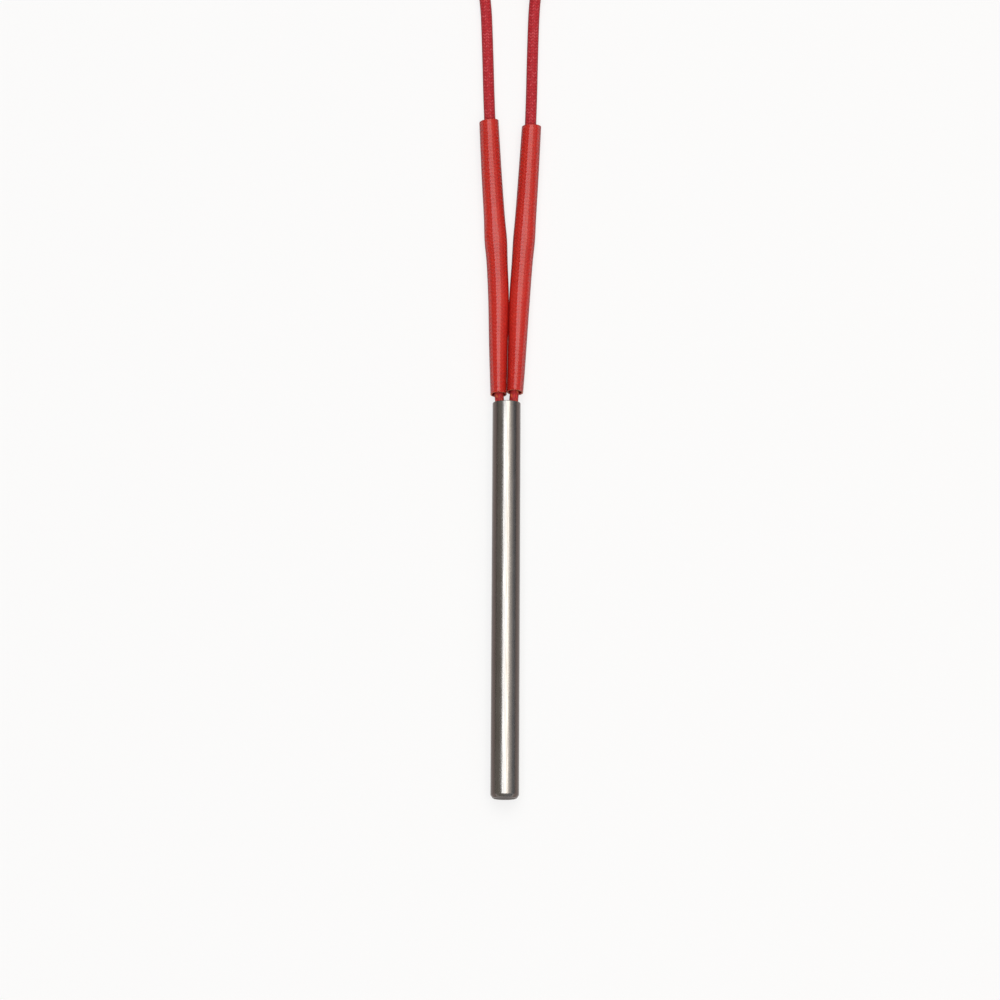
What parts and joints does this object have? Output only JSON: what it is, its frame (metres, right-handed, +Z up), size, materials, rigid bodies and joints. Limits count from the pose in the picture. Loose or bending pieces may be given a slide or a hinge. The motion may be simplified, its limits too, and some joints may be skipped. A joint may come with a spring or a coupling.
{
  "type": "pellet stove igniter",
  "caption": "Cartridge heater that lights a pellet stove: a steel sheath with a welded tip, and red sleeved leads folded in a tied hank",
  "frame": {"origin": "On the floor, under the middle of the sheath", "axes": "+Y along the sheath from the tip to the leads, +Z up, +X to the right seen from the tip"},
  "size_m": [0.0326, 0.3773, 0.0133],
  "materials": {
    "sheath_steel": "fine ground, heat-resistant stainless steel",
    "disc_steel": "turned stainless steel with a fine weld groove",
    "ceramic_wafer": "fired magnesia ceramic",
    "ceramic_core": "fired magnesia ceramic",
    "coil_alloy": "oxidised nickel chromium wire",
    "magnesia_powder": "packed magnesia powder",
    "ceramic_cap": "fired ceramic",
    "potting": "matte ceramic cement",
    "nickel_pin": "drawn nickel",
    "nickel_crimp": "nickel plated",
    "glass_fibre_cover": "woven glass fibre",
    "nickel_strand": "stranded nickel plated copper",
    "silicone_core": "silicone rubber",
    "braided_lead": "varnished glass fibre braid, crimson with paler flecks",
    "coated_sleeve": "silicone coated glass fibre braid, glossy orange red",
    "tinned_strand": "tinned strands",
    "braided_hank": "varnished glass fibre braid, crimson with paler flecks",
    "tie_nylon": "natural nylon"
  },
  "bodies": {
    "root": {"sheath": "sheath_steel", "end_disc": "disc_steel", "tip_wafer": "ceramic_wafer", "ceramic_core": "ceramic_core", "heating_coil": "coil_alloy", "magnesia_fill": "magnesia_powder", "core_cap": "ceramic_cap", "mouth_seal": "potting", "pin_left": "nickel_pin", "pin_right": "nickel_pin", "crimp_left": "nickel_crimp", "crimp_right": "nickel_crimp", "crimp_cover_left": "glass_fibre_cover", "crimp_cover_right": "glass_fibre_cover", "conductor_left": "nickel_strand", "conductor_right": "nickel_strand", "lead_core_left": "silicone_core", "lead_core_right": "silicone_core", "lead_left": "braided_lead", "lead_right": "braided_lead", "sleeve_left": "coated_sleeve", "sleeve_right": "coated_sleeve", "bare_end_left": "tinned_strand", "bare_end_right": "tinned_strand", "lead_hank": "braided_hank", "hank_tie": "tie_nylon"}
  },
  "joints": []
}
